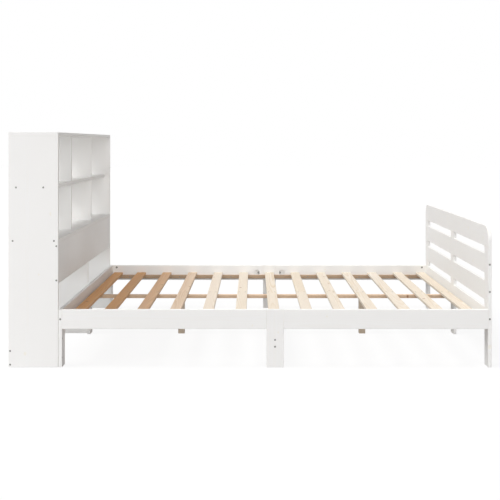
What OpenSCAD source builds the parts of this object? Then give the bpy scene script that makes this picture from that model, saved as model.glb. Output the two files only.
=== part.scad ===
// Bed frame with a bookcase headboard, for a 180 x 200 cm mattress.
// X runs from the bookcase to the footboard, Y across the bed, Z up. All sizes are in millimetres.
// The origin is on the floor, in the middle of the footprint.

/* [Sleeping space] */
// Clear length between the head frame and the footboard
inner_l = 2000; // [1900:10:2100]
// Clear width between the side rails
inner_w = 1800; // [1400:10:2000]
// Depth of the mattress recess, from the top of the rails to the slats
recess = 44; // [30:1:46]

/* [Boards] */
// Thickness of the painted boards
board_t = 17; // [16:0.5:20]
// Radius of the eased long edges
ease = 2; // [0.5:0.5:3]
// Chamfer of the sawn board ends
arris = 0.5; // [0.2:0.1:1]
// Width of the legs and stiles
leg_w = 80; // [70:1:100]
// Height of the rails' lower edge above the floor
rail_z = 180; // [170:5:240]
// Height of the rails, the cross boards and the footboard's boards
rail_h = 92; // [88:1:110]

/* [Bookcase] */
// Depth of the side panels, the top board and the middle shelf
book_d = 234; // [205:1:300]
// Gap between the bookcase and the head frame
case_gap = 1; // [0.5:0.5:6]
// Depth of the upper shelf and the upright dividers
shelf_d = 200; // [160:1:205]
// Clear height of each shelf row
row_h = 234; // [180:1:300]
// Height of the middle shelf's underside
mid_shelf_z = 585; // [520:5:700]
// Clear width of the middle compartment in both rows
mid_cubby_w = 660; // [400:5:800]
// Height of the front panel under the middle shelf
front_panel_h = 193; // [120:1:220]
// Height of the back rail on the floor
back_rail_h = 90; // [70:1:120]

/* [Footboard] */
// Gap between the footboard's boards
foot_gap = 36; // [20:1:60]
// Height of the top board
top_board_h = 98; // [80:1:140]
// Radius of the top board's outer corners
corner_r = 65; // [20:1:75]

/* [Slat bed] */
// Width of a slat
slat_w = 55; // [50:1:70]
// Distance from the middle of one inner slat to the next
slat_pitch = 163; // [150:1:165]
// Gap between an end slat and the head frame or the footboard
slat_end_gap = 10; // [2:1:14]
// Thickness of a slat
slat_t = 15; // [12:1:18]
// Clearance at the slats' ends and between their halves
slat_clear = 1; // [0.5:0.5:3]
// Width of the ledger strips
ledger_w = 20; // [18:1:30]
// Height of the ledger strips
ledger_h = 22; // [18:1:26]
// Width of the centre batten
batten_w = 35; // [30:1:50]
// Height of the centre batten
batten_h = 18; // [16:1:26]
// Side of the square legs under the centre batten
post_w = 35; // [30:1:50]
// Distance from the middle batten leg to the other two
post_reach = 500; // [300:10:700]

/* [Middle stretcher] */
// Height of the stretcher board between the middle legs
stretcher_h = 64; // [56:1:90]
// Height of the stretcher's centre line above the floor
stretcher_z = 113; // [60:1:120]

/* [Screws] */
// Length of the countersunk board screws
screw_l = 50; // [40:1:60]
// Diameter of the board screws
screw_d = 5; // [4:0.5:6]
// Head diameter of the board screws
screw_head = 9; // [8:0.5:10]
// Length of the long screws through the leg and stile edges
long_screw_l = 120; // [110:1:150]
// Diameter of the long screws
long_screw_d = 6; // [5:0.5:7]
// Head diameter of the long screws
long_screw_head = 10; // [9:0.5:12]
// Length of the slat screws
slat_screw_l = 28; // [25:1:31]
// Diameter of the slat screws
slat_screw_d = 3.5; // [3:0.5:4]
// Head diameter of the slat screws
slat_screw_head = 7; // [6:0.5:8]

/* [Dowels and bolts] */
// Diameter of the wooden dowels
dowel_d = 8; // [6:0.5:9]
// Length of the wooden dowels
dowel_l = 30; // [26:1:36]
// Depth of a dowel in the board whose face it enters
dowel_in = 11; // [9:1:13]
// Shank diameter of the rail bolts
bolt_d = 6; // [5:0.5:7]
// Shank length of the rail bolts
bolt_l = 50; // [46:1:60]
// Head diameter of the rail bolts
bolt_head = 13; // [11:0.5:14]
// Head thickness of the rail bolts
bolt_head_t = 3; // [2:0.5:4]
// Distance from the top of a rail down to its bolts
bolt_drop = 13; // [10:0.5:18]
// Distance from the end of a rail to its barrel nut
nut_reach = 26; // [22:1:30]
// Diameter of the barrel nuts
nut_d = 12; // [10:0.5:14]
// Diameter of the threaded rods through the middle legs
rod_d = 6; // [5:0.5:6.5]
// Distance from a rail's inner face to the rod's axis
rod_inset = 7.5; // [7:0.5:8.5]
// Diameter of the round pockets in the rails
pocket_d = 36; // [32:1:40]
// Distance from the end of a rail to the centre of its pocket
pocket_reach = 40; // [36:1:50]

/* [Hidden] */
$fn = 48;
sides = [-1, 1];                       // near side, far side
side_names = ["near", "far"];
rows = [0, 1, 2];                      // boards in each bay of the footboard, from the floor up
slat_n = 13;
fit = 0.2;                             // clearance on the diameter of holes and pockets
over = 1;                              // how far a cut runs past the face it starts from
butt = 0.4;                            // hairline between two lengths that meet end to end
seat = 0.1;                            // between a nut and its washer
end_room = 1;                          // free space past the tip of a dowel, screw or bolt

// Overall sizes and the main planes
full_w = inner_w + 2*board_t;
full_l = book_d + case_gap + inner_l + 2*board_t;
x_back = -full_l/2;
x_case = x_back + book_d;              // front of the bookcase
x_head = x_case + case_gap;            // back of the head frame
x_in = x_head + board_t;
x_mid = x_in + inner_l/2;
x_foot = x_in + inner_l;
x_end = x_foot + board_t;
y_in = inner_w/2;
y_out = full_w/2;
y_edge = y_out - board_t/2;            // middle of a side rail's thickness
x_head_core = x_in - board_t/2;        // middle of the head frame's thickness
x_foot_core = x_foot + board_t/2;
half_l = inner_l/2 - butt/2;            // length of a ledger or batten half
bay = y_out - leg_w - leg_w/2;         // length of a cross board, from middle leg to outer leg

// Heights
rail_top = rail_z + rail_h;
rail_core = rail_z + rail_h/2;
slat_z = rail_top - recess - slat_t;
ledger_z = slat_z - ledger_h;
batten_z = slat_z - batten_h;
foot_pitch = rail_h + foot_gap;
top_board_z = rail_z + len(rows)*foot_pitch;
z_up = mid_shelf_z + board_t + row_h;  // underside of the upper shelf
z_top = z_up + board_t + row_h;        // underside of the bookcase's top board
panel_z = mid_shelf_z - front_panel_h;
divider_y = mid_cubby_w/2 + board_t/2;

// Middle of a slat: the inner slats lie even about the middle of the bed, the end slats close to the ends
function slat_x(i) = i == 0 ? x_in + slat_end_gap + slat_w/2
    : i == slat_n - 1 ? x_foot - slat_end_gap - slat_w/2
    : x_mid + (i - (slat_n - 1)/2)*slat_pitch;
function foot_z(row) = rail_z + row*foot_pitch;

// Where a fastener sits from the edge of its board
upper_inset = 36;
mid_inset = 20;
panel_inset = 16;
back_inset = 13;
dowel_inset = 50;
dowel_shift = 20;                      // keeps dowels from above and below a shelf apart
pair_gap = 52;                         // between the two dowels at the end of a cross board
stretcher_pair = 32;                   // between the two screws on a middle leg
post_pair = 24;                        // between the two dowels at the end of a stretcher
top_pair = 40;                         // between the two dowels on top of a stile
slat_pair = 34;                        // between the two screws at the end of a slat
low_dowel = 20;                        // height of the rail's dowels above its lower edge
ledger_gaps = [0, 2, 4, 7, 9, 11];     // slat gaps in which a ledger is screwed to its rail

// Pockets and the half-moon washers in them
washer_flat = 12;                      // from the pocket's centre to the washer's flat
hex_t = 5;
hex_af = 10;
rod_past_nut = 2;
pocket_depth = rod_inset + hex_af/2 + fit;
pocket_x = leg_w/2 + pocket_reach;
rod_half = pocket_x - washer_flat + hex_t + rod_past_nut;
washer_inset = 1;                      // how far washer and barrel nut lie below the rail's face
nut_l = 13;
nut_bore = washer_inset + nut_l + end_room;

// Fastener places: each is [point, direction], and the direction points into the wood
function toward(s) = [0, -s, 0];
down = [0, 0, -1];
up = [0, 0, 1];
fwd = [1, 0, 0];
back = [-1, 0, 0];

case_screws = [for (s = sides, p = [
    [upper_inset, z_up + board_t/2], [shelf_d - upper_inset, z_up + board_t/2],
    [mid_inset, mid_shelf_z + board_t/2], [book_d - mid_inset, mid_shelf_z + board_t/2],
    [book_d - board_t/2, mid_shelf_z - panel_inset], [book_d - board_t/2, panel_z + panel_inset],
    [board_t/2, back_rail_h - back_inset], [board_t/2, back_inset]])
    [[x_back + p[0], s*y_out, p[1]], toward(s)]];
link_screws = [for (y = [-y_edge, 0, y_edge], z = [rail_z/4, rail_z*3/4]) [[x_in, y, z], back]];
leg_screws = [for (s = sides, dz = [-1, 1])
    [[x_mid, s*y_out, stretcher_z + dz*stretcher_pair/2], toward(s)]];
batten_screws = concat(
    [[[x_head, 0, batten_z + batten_h/2], fwd], [[x_end, 0, batten_z + batten_h/2], back]],
    [for (dx = [-post_reach, -post_w/4, post_w/4, post_reach]) [[x_mid + dx, 0, slat_z], down]]);
board_screw_places = concat(case_screws, link_screws, leg_screws, batten_screws);

long_screw_places = [for (s = sides) each concat(
    [[[x_head_core, s*y_out, rail_core], toward(s)]],
    [for (r = rows) [[x_foot_core, s*y_out, foot_z(r) + rail_h/2], toward(s)]])];

function slat_holes(i) = [for (y = [y_in - ledger_w/2, batten_w/4], s = sides, dx = [-1, 1])
    [[slat_x(i) + dx*slat_pair/2, s*y, slat_z + slat_t], down]];
slat_screws = [for (i = [0:slat_n - 1]) each slat_holes(i)];
ledger_screws = [for (s = sides, i = ledger_gaps)
    [[(slat_x(i) + slat_x(i + 1))/2, s*(y_in - ledger_w), ledger_z + ledger_h/2], [0, s, 0]]];

rail_bolt_places = [for (s = sides, e = [[x_head, fwd], [x_end, back]])
    [[e[0], s*y_edge, rail_top - bolt_drop], e[1]]];
barrel_nut_places = [for (s = sides, x = [x_in + nut_reach, x_foot - nut_reach])
    [[x, s*y_in, rail_top - bolt_drop], [0, s, 0]]];

// Dowels: the point is on the joint, and the direction points into the board whose end it enters
case_dowels = concat(
    [for (s = sides, x = [dowel_inset, book_d - dowel_inset]) [[x_back + x, s*y_edge, z_top], down]],
    [for (s = sides, x = [dowel_inset, shelf_d - dowel_inset]) each [
        [[x_back + x, s*divider_y, z_top], down],
        [[x_back + x, s*divider_y, z_up + board_t], up],
        [[x_back + x, s*divider_y, mid_shelf_z + board_t], up]]],
    [for (s = sides, x = [dowel_inset + dowel_shift, shelf_d - dowel_inset - dowel_shift])
        [[x_back + x, s*divider_y, z_up], down]],
    [for (x = [dowel_inset, book_d - board_t - dowel_inset]) [[x_back + x, 0, mid_shelf_z], down]],
    [for (k = [-3, -1, 1, 3]) [[x_case - board_t/2, k*inner_w/8, mid_shelf_z], down]],
    [for (k = [1, 3]) [[x_case - board_t, 0, panel_z + k*front_panel_h/4], back]],
    [[[x_back + board_t, 0, back_rail_h/2], fwd]]);
rail_dowels = [for (s = sides) each [
    [[x_in, s*y_edge, rail_z + low_dowel], fwd],
    [[x_mid - leg_w/2, s*y_edge, rail_z + low_dowel], back],
    [[x_mid + leg_w/2, s*y_edge, rail_z + low_dowel], fwd],
    [[x_foot, s*y_edge, rail_z + low_dowel], back]]];
function cross_dowels(x, z) = [for (s = sides, dz = [-1, 1]) each [
    [[x, s*(y_out - leg_w), z + dz*pair_gap/2], toward(s)],
    [[x, s*leg_w/2, z + dz*pair_gap/2], [0, s, 0]]]];
head_dowels = cross_dowels(x_head_core, rail_core);
foot_dowels = concat(
    [for (r = rows) each cross_dowels(x_foot_core, foot_z(r) + rail_h/2)],
    [for (y = [-1, 0, 1], dy = [-1, 1])
        [[x_foot_core, y*(y_out - leg_w/2) + dy*top_pair/2, top_board_z], down]]);
post_dowels = [for (s = sides, dz = [-1, 1])
    [[x_mid, s*post_w/2, stretcher_z + dz*post_pair/2], [0, s, 0]]];
dowel_places = concat(case_dowels, rail_dowels, head_dowels, foot_dowels, post_dowels);

function slat_name(i) = str("slat_", i < 9 ? "0" : "", i + 1);
function foot_board_name(s, r) = str("foot_board_", side_names[s < 0 ? 0 : 1], "_", r + 1);

// Shapes shared by the boards

module paint() { color([0.94, 0.94, 0.93]) children(); }
module pine() { color([0.88, 0.76, 0.58]) children(); }
module steel() { color([0.62, 0.62, 0.60]) children(); }

// Cross-section of a board with its four long edges eased
module eased(a, b) {
    translate([ease, 0]) square([a - 2*ease, b]);
    translate([0, ease]) square([a, b - 2*ease]);
    for (x = [ease, a - ease], y = [ease, b - ease]) translate([x, y]) circle(ease);
}

// Face of a board, w wide and l long, with its ends chamfered and its sides left over
module chamfered(w, l) {
    past = arris + over;
    polygon([[arris, 0], [w - arris, 0], [w + over, past], [w + over, l - past],
        [w - arris, l], [arris, l], [-over, l - past], [-over, past]]);
}

// Board a by b by l with its grain along Z: rounded long edges, and a chamfer all round each end
module board(a, b, l) {
    intersection() {
        linear_extrude(l) eased(a, b);
        translate([0, b + over, 0]) rotate([90, 0, 0]) linear_extrude(b + 2*over) chamfered(a, l);
        translate([-over, 0, 0]) rotate([90, 0, 90]) linear_extrude(a + 2*over) chamfered(b, l);
    }
}

// Boards from a low corner and a size, named by the direction of their grain
module along_x(p, s) { translate(p) rotate([90, 0, 90]) board(s[1], s[2], s[0]); }
module along_y(p, s) { translate([p[0], p[1] + s[1], p[2]]) rotate([90, 0, 0]) board(s[0], s[2], s[1]); }
module along_z(p, s) { translate(p) board(s[0], s[1], s[2]); }

// Low Y corner of a piece that lies w wide inwards from the plane y, on side s
function low_y(s, y, w) = s < 0 ? -y : y - w;

// Puts a child that points along +Z on each place of a list
module at(places) {
    for (p = places) translate(p[0]) rotate([0, acos(p[1][2]), atan2(p[1][1], p[1][0])]) children();
}

// Profiles of the fasteners, turned about Z, with the head at the origin
module screw(l, d, head) {
    sink = (head - d)/2;
    rotate_extrude() polygon([[0, 0], [head/2, 0], [d/2, sink], [d/2, l - d], [0, l]]);
}
module screw_hole(l, d, head) {
    sink = (head - d)/2;
    rotate_extrude() polygon([[0, -over], [(head + fit)/2, -over], [(head + fit)/2, 0],
        [(d + fit)/2, sink], [(d + fit)/2, l + end_room], [0, l + end_room]]);
}
module dowel() {
    bevel = dowel_d/8;
    rotate_extrude() polygon([[0, -dowel_in], [dowel_d/2 - bevel, -dowel_in], [dowel_d/2, bevel - dowel_in],
        [dowel_d/2, dowel_l - dowel_in - bevel], [dowel_d/2 - bevel, dowel_l - dowel_in],
        [0, dowel_l - dowel_in]]);
}
module dowel_hole() {
    translate([0, 0, -dowel_in - end_room]) cylinder(h = dowel_l + 2*end_room, d = dowel_d + fit);
}
module bolt() {
    rotate_extrude() polygon([[0, 0], [bolt_head/2, 0], [bolt_head/2, bolt_head_t], [bolt_d/2, bolt_head_t],
        [bolt_d/2, bolt_head_t + bolt_l], [0, bolt_head_t + bolt_l]]);
}
module bolt_hole() {
    tip = bolt_head_t + bolt_l + end_room;
    rotate_extrude() polygon([[0, -over], [(bolt_head + fit)/2, -over], [(bolt_head + fit)/2, bolt_head_t],
        [(bolt_d + fit)/2, bolt_head_t], [(bolt_d + fit)/2, tip], [0, tip]]);
}

// Cuts for one kind of fastener
module cut_screws(places) { at(places) screw_hole(screw_l, screw_d, screw_head); }
module cut_long_screws() { at(long_screw_places) screw_hole(long_screw_l, long_screw_d, long_screw_head); }
module cut_slat_screws(places) { at(places) screw_hole(slat_screw_l, slat_screw_d, slat_screw_head); }
module cut_dowels(places) { at(places) dowel_hole(); }
module cut_rods() {
    for (s = sides) translate([x_mid - pocket_x, s*(y_in + rod_inset), rail_core])
        rotate([0, 90, 0]) cylinder(h = 2*pocket_x, d = rod_d + fit);
}

// Bookcase

module case_board() {
    paint() difference() {
        children();
        cut_screws(case_screws);
        cut_dowels(case_dowels);
    }
}

module side_panel(s) {
    paint() difference() {
        along_z([x_back, low_y(s, y_out, board_t), 0], [book_d, board_t, z_top]);
        cut_screws(concat(case_screws, link_screws));
        cut_dowels(case_dowels);
    }
}

module top_board() { case_board() along_y([x_back, -y_out, z_top], [book_d, full_w, board_t]); }
module upper_shelf() { case_board() along_y([x_back, -y_in, z_up], [shelf_d, inner_w, board_t]); }
module middle_shelf() { case_board() along_y([x_back, -y_in, mid_shelf_z], [book_d, inner_w, board_t]); }

module divider(s, z) {
    case_board() along_z([x_back, s*divider_y - board_t/2, z], [shelf_d, board_t, row_h]);
}

// Notched in front for the front panel and behind for the back rail
module centre_divider() {
    paint() difference() {
        along_z([x_back, -board_t/2, 0], [book_d, board_t, mid_shelf_z]);
        translate([x_case - board_t, -board_t, panel_z])
            cube([board_t + over, 2*board_t, front_panel_h + over]);
        translate([x_back - over, -board_t, -over]) cube([board_t + over, 2*board_t, back_rail_h + over]);
        cut_screws(link_screws);
        cut_dowels(case_dowels);
    }
}

module front_panel() {
    case_board() along_y([x_case - board_t, -y_in, panel_z], [board_t, inner_w, front_panel_h]);
}
module back_rail() { case_board() along_y([x_back, -y_in, 0], [board_t, inner_w, back_rail_h]); }

// Head frame

module cut_head() {
    cut_screws(concat(link_screws, batten_screws));
    cut_long_screws();
    cut_dowels(concat(head_dowels, rail_dowels));
    at(rail_bolt_places) bolt_hole();
}

module head_leg(y) {
    paint() difference() {
        along_z([x_head, y, 0], [board_t, leg_w, rail_top]);
        cut_head();
    }
}
module head_board(s) {
    paint() difference() {
        along_y([x_head, low_y(s, y_out - leg_w, bay), rail_z], [board_t, bay, rail_h]);
        cut_head();
    }
}

// Side rails and middle legs

module rail(s, x) {
    paint() difference() {
        along_x([x, low_y(s, y_out, board_t), rail_z], [inner_l/2 - leg_w/2, board_t, rail_h]);
        at(rail_bolt_places) bolt_hole();
        at(barrel_nut_places) translate([0, 0, -over]) cylinder(h = nut_bore + over, d = nut_d + fit);
        for (dx = [-pocket_x, pocket_x]) translate([x_mid + dx, s*y_in, rail_core])
            rotate([-90*s, 0, 0]) translate([0, 0, -over]) cylinder(h = pocket_depth + over, d = pocket_d);
        cut_rods();
        cut_dowels(rail_dowels);
        cut_slat_screws(ledger_screws);
    }
}

module middle_leg(s) {
    paint() difference() {
        along_z([x_mid - leg_w/2, low_y(s, y_out, board_t), 0], [leg_w, board_t, rail_top]);
        cut_rods();
        cut_screws(leg_screws);
        cut_dowels(rail_dowels);
    }
}

// One half on each side of the middle batten leg
module stretcher() {
    paint() difference() {
        for (s = sides)
            along_y([x_mid - board_t/2, low_y(s, y_in, y_in - post_w/2), stretcher_z - stretcher_h/2],
                [board_t, y_in - post_w/2, stretcher_h]);
        cut_screws(leg_screws);
        cut_dowels(post_dowels);
    }
}

// Slat bed

// Two lengths that meet under the middle slat
module ledger(s) {
    pine() difference() {
        for (x = [x_in, x_mid + butt/2])
            along_x([x, low_y(s, y_in, ledger_w), ledger_z], [half_l, ledger_w, ledger_h]);
        cut_slat_screws(concat(slat_screws, ledger_screws));
    }
}
module centre_batten() {
    pine() difference() {
        for (x = [x_in, x_mid + butt/2]) along_x([x, -batten_w/2, batten_z], [half_l, batten_w, batten_h]);
        cut_slat_screws(slat_screws);
        cut_screws(batten_screws);
    }
}
module batten_leg(dx) {
    pine() difference() {
        along_z([x_mid + dx - post_w/2, -post_w/2, 0], [post_w, post_w, batten_z]);
        cut_screws(batten_screws);
        cut_dowels(post_dowels);
    }
}

// Each slat is two halves that meet over the centre batten
module slat(i) {
    pine() difference() {
        for (s = sides)
            along_y([slat_x(i) - slat_w/2, low_y(s, y_in - slat_clear, y_in - slat_clear*3/2), slat_z],
                [slat_w, y_in - slat_clear*3/2, slat_t]);
        cut_slat_screws(slat_holes(i));
    }
}

// Footboard

module cut_foot() {
    cut_screws(batten_screws);
    cut_long_screws();
    cut_dowels(concat(foot_dowels, rail_dowels));
    at(rail_bolt_places) bolt_hole();
}

module foot_stile(y) {
    paint() difference() {
        along_z([x_foot, y, 0], [board_t, leg_w, top_board_z]);
        cut_foot();
    }
}
module foot_board(s, row) {
    paint() difference() {
        along_y([x_foot, low_y(s, y_out - leg_w, bay), foot_z(row)], [board_t, bay, rail_h]);
        cut_foot();
    }
}

// Plate of the top board with every edge rounded
module top_plate() {
    translate([x_foot, -y_out, top_board_z]) intersection() {
        linear_extrude(top_board_h) eased(board_t, full_w);
        translate([0, full_w, 0]) rotate([90, 0, 0]) linear_extrude(full_w) eased(board_t, top_board_h);
    }
}

// Quarter of a disc whose rim is rounded like the board's edges; s is the side that it points to
module top_corner(s) {
    rotate([0, 90, 0]) rotate([0, 0, s > 0 ? 90 : 180]) rotate_extrude(angle = 90) intersection() {
        translate([-corner_r, 0]) eased(2*corner_r, board_t);
        square([corner_r, board_t]);
    }
}

// Full width, with its two outer corners rounded
module foot_top_board() {
    paint() difference() {
        union() {
            difference() {
                top_plate();
                for (s = sides) translate([x_foot - over, s < 0 ? -y_out - over : y_out - corner_r,
                    top_board_z + top_board_h - corner_r])
                    cube([board_t + 2*over, corner_r + over, corner_r + over]);
            }
            for (s = sides) translate([x_foot, s*(y_out - corner_r), top_board_z + top_board_h - corner_r])
                top_corner(s);
        }
        cut_dowels(foot_dowels);
    }
}

// Fasteners

module board_screws() { steel() at(board_screw_places) screw(screw_l, screw_d, screw_head); }
module long_screws() { steel() at(long_screw_places) screw(long_screw_l, long_screw_d, long_screw_head); }
module slat_screws() {
    steel() at(concat(slat_screws, ledger_screws)) screw(slat_screw_l, slat_screw_d, slat_screw_head);
}
module dowels() { pine() at(dowel_places) dowel(); }
module rail_bolts() { steel() at(rail_bolt_places) bolt(); }

// Cross-drilled for the bolt, which runs in the middle of the rail's thickness
module barrel_nuts() {
    steel() difference() {
        at(barrel_nut_places) translate([0, 0, washer_inset]) cylinder(h = nut_l, d = nut_d);
        at(rail_bolt_places) bolt_hole();
    }
}

// Fills the curved wall of a pocket; off is its middle, seen across the rail from the rod's axis
module half_moon(off) {
    difference() {
        translate([0, off, 0]) rotate([90, 0, 0])
            linear_extrude(pocket_depth - washer_inset, center = true) intersection() {
                circle(d = pocket_d - fit);
                translate([washer_flat, -pocket_d/2]) square([pocket_d, pocket_d]);
            }
        rotate([0, 90, 0]) cylinder(h = pocket_d, d = rod_d + fit);
    }
}
module hex_nut() {
    rotate([0, 90, 0]) difference() {
        rotate([0, 0, 30]) cylinder(h = hex_t, d = hex_af/cos(30), $fn = 6);
        translate([0, 0, -over]) cylinder(h = hex_t + 2*over, d = rod_d + fit);
    }
}
// Threaded rods with a half-moon washer and a nut at each end
module joint_rods() {
    off = (pocket_depth + washer_inset)/2 - rod_inset;
    steel() for (s = sides) translate([x_mid, s*(y_in + rod_inset), rail_core]) {
        translate([-rod_half, 0, 0]) rotate([0, 90, 0]) cylinder(h = 2*rod_half, d = rod_d);
        for (turn = [0, 180]) rotate([0, 0, turn]) translate([-pocket_x, 0, 0]) {
            half_moon(turn == 0 ? s*off : -s*off);
            translate([washer_flat - seat - hex_t, 0, 0]) hex_nut();
        }
    }
}

side_panel(-1);  // side_panel_near
side_panel(1);  // side_panel_far
top_board();
upper_shelf();
middle_shelf();
divider(-1, z_up + board_t);  // upper_divider_near
divider(1, z_up + board_t);  // upper_divider_far
divider(-1, mid_shelf_z + board_t);  // lower_divider_near
divider(1, mid_shelf_z + board_t);  // lower_divider_far
centre_divider();
front_panel();
back_rail();
head_leg(-y_out);  // head_leg_near
head_leg(-leg_w/2);  // head_leg_middle
head_leg(y_out - leg_w);  // head_leg_far
head_board(-1);  // head_board_near
head_board(1);  // head_board_far
rail(-1, x_in);  // rail_near_head
rail(-1, x_mid + leg_w/2);  // rail_near_foot
rail(1, x_in);  // rail_far_head
rail(1, x_mid + leg_w/2);  // rail_far_foot
middle_leg(-1);  // middle_leg_near
middle_leg(1);  // middle_leg_far
stretcher();
ledger(-1);  // ledger_near
ledger(1);  // ledger_far
centre_batten();
batten_leg(-post_reach);  // batten_leg_head
batten_leg(0);  // batten_leg_middle
batten_leg(post_reach);  // batten_leg_foot
for (i = [0:slat_n - 1]) slat(i);
foot_stile(-y_out);  // foot_stile_near
foot_stile(-leg_w/2);  // foot_stile_middle
foot_stile(y_out - leg_w);  // foot_stile_far
foot_top_board();
for (s = sides, r = rows) foot_board(s, r);
board_screws();
long_screws();
slat_screws();
dowels();
rail_bolts();
barrel_nuts();
joint_rods();
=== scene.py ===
"""Finishes a pine bed frame with a bookcase headboard and sets it on a plain studio stage.

The boards are white painted pine, the slat bed is bare pine and the fastenings are zinc plated.
"""

import math

import bmesh
import bpy
from bpy.props import FloatProperty, FloatVectorProperty, IntProperty, PointerProperty
from mathutils import Matrix, Vector


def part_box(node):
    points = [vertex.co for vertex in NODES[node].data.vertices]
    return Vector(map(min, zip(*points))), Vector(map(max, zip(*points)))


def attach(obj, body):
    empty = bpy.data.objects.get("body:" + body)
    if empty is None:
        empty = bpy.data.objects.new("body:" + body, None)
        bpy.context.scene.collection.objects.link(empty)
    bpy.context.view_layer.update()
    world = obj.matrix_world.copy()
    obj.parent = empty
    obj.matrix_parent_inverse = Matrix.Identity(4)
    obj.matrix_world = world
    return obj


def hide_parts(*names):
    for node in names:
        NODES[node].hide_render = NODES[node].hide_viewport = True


bl_info = {
    "name": "Bookcase Bed Frame",
    "version": (1, 0, 0),
    "blender": (4, 5, 0),
    "location": "View3D > Sidebar > Bed",
    "description": "Finishes a pine bed frame with a bookcase headboard and sets its studio stage",
    "category": "Object",
}

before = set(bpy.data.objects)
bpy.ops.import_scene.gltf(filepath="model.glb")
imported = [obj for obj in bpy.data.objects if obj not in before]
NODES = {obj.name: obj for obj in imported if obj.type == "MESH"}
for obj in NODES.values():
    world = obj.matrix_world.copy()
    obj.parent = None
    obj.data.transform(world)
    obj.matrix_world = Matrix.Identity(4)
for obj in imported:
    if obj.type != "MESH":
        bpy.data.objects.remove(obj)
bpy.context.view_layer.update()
BODY = "root"

# Boards by group
BOOKCASE = ["side_panel_near", "side_panel_far", "top_board", "upper_shelf", "middle_shelf",
            "upper_divider_near", "upper_divider_far", "lower_divider_near", "lower_divider_far",
            "centre_divider", "front_panel", "back_rail"]
HEAD_FRAME = ["head_leg_near", "head_leg_middle", "head_leg_far", "head_board_near", "head_board_far"]
SIDE_RAILS = ["rail_near_head", "rail_near_foot", "rail_far_head", "rail_far_foot",
              "middle_leg_near", "middle_leg_far", "stretcher"]
FOOTBOARD = sorted(name for name in NODES if name.startswith("foot_"))
SLAT_SUPPORTS = ["ledger_near", "ledger_far", "centre_batten",
                 "batten_leg_head", "batten_leg_middle", "batten_leg_foot"]
SLATS = sorted(name for name in NODES if name.startswith("slat_") and name[5:].isdigit())

# Painted shade of the wood under the slats: how much redder, then how much darker it is painted
SUPPORT_PAINTED_SHADE = {"ledger": (0.5, 0.68), "centre_batten": (0.45, 0.94), "batten_leg": (0.12, 0.82)}

# Shares of red, green and blue that the white keeps over the grain, over a knot and where it is thin
WARM_WHITE = (0.985, 0.975, 0.955)
BLED_WHITE = (0.97, 0.94, 0.86)
THIN_WHITE = (0.93, 0.90, 0.85)

# Shares that bare pine keeps in the warmest piece of wood, and where painted shade makes it redder and darker
WARM_PINE = (0.97, 0.95, 0.91)
SHADOW_RED_PINE = (0.92, 0.53, 0.235)

# Added to the number of a board or a slat, so that no two of them pick the same piece of wood
BOARD_SEEDS = 0.21
SLAT_SEEDS = 0.37

MM = 0.001
X, Y, Z = 0, 1, 2
WHITE = (1.0, 1.0, 1.0, 1.0)

# Corners of the CAD's loose triangles that lie closer than this are one point
WELD = 0.002*MM

# Edges sharper than this many degrees stay crisp
CRISP_ANGLE = 35


# Reading the frame

def solids_of(node):
    """The corner points of each separate solid in a CAD node."""
    mesh = bmesh.new()
    mesh.from_mesh(NODES[node].data)
    bmesh.ops.remove_doubles(mesh, verts=mesh.verts, dist=WELD)
    solids, seen = [], set()
    for start in mesh.verts:
        if start in seen:
            continue
        seen.add(start)
        solid, front = [], [start]
        while front:
            point = front.pop()
            solid.append(point.co.copy())
            for edge in point.link_edges:
                other = edge.other_vert(point)
                if other not in seen:
                    seen.add(other)
                    front.append(other)
        solids.append(solid)
    mesh.free()
    return solids


def box_of(points):
    """Lowest and highest corner of some points."""
    return (Vector(min(p[k] for p in points) for k in (X, Y, Z)),
            Vector(max(p[k] for p in points) for k in (X, Y, Z)))


class Fastener:
    """Where one turned fastening sits: its head, the way it points, and its main sizes.

    The head is the wider end. A point belongs to an end's face when it lies within the slack of it, to the
    head's rim when it is nearly the widest, and to the shank when it lies well past the head.
    """
    FACE_SLACK = 0.3*MM
    NEARLY_WIDEST = 0.9
    PAST_THE_HEAD = 0.4

    def __init__(self, points):
        low, high = box_of(points)
        size = high - low
        middle = (low + high)/2
        self.axis = max((X, Y, Z), key=lambda k: size[k])
        self.length = size[self.axis]

        def reach(end):
            face = [p for p in points if abs(p[self.axis] - end) < self.FACE_SLACK]
            return max(self.off_axis(p - middle) for p in face)

        head_low = reach(low[self.axis]) >= reach(high[self.axis])
        self.head = middle.copy()
        self.head[self.axis] = low[self.axis] if head_low else high[self.axis]
        self.aim = Vector((0, 0, 0))
        self.aim[self.axis] = 1 if head_low else -1
        self.head_r = max(self.off_axis(p - middle) for p in points)
        rim = [p for p in points if self.off_axis(p - middle) > self.head_r*self.NEARLY_WIDEST]
        self.head_t = max(self.depth(p) for p in rim)
        shank = [p for p in points if self.depth(p) > self.length*self.PAST_THE_HEAD]
        self.shank_r = max(self.off_axis(p - middle) for p in shank)

    def off_axis(self, offset):
        """How far an offset leads away from the axis."""
        flat = offset.copy()
        flat[self.axis] = 0
        return flat.length

    def depth(self, point):
        """How far a point lies behind the head's face."""
        return abs(point[self.axis] - self.head[self.axis])


def fasteners_in(node):
    """The fastenings of a CAD node, one for each of its solids."""
    return [Fastener(points) for points in solids_of(node)]


def sides_by_length(low, high):
    """The three axes of a box, longest first: a board's grain, its width and its thickness."""
    size = high - low
    return sorted((X, Y, Z), key=lambda k: -size[k])


# The slat bed's own sizes, read from the frame

HALF_LOW, HALF_HIGH = min((box_of(points) for points in solids_of(SLATS[0])), key=lambda half: half[0].y)
SLAT_MIDDLES = [sum(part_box(name), Vector()).x/2 for name in SLATS]
BED_MIDDLE_X = (SLAT_MIDDLES[0] + SLAT_MIDDLES[-1])/2
SLAT_MIDDLE_Z = (HALF_LOW.z + HALF_HIGH.z)/2


# Settings

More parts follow.
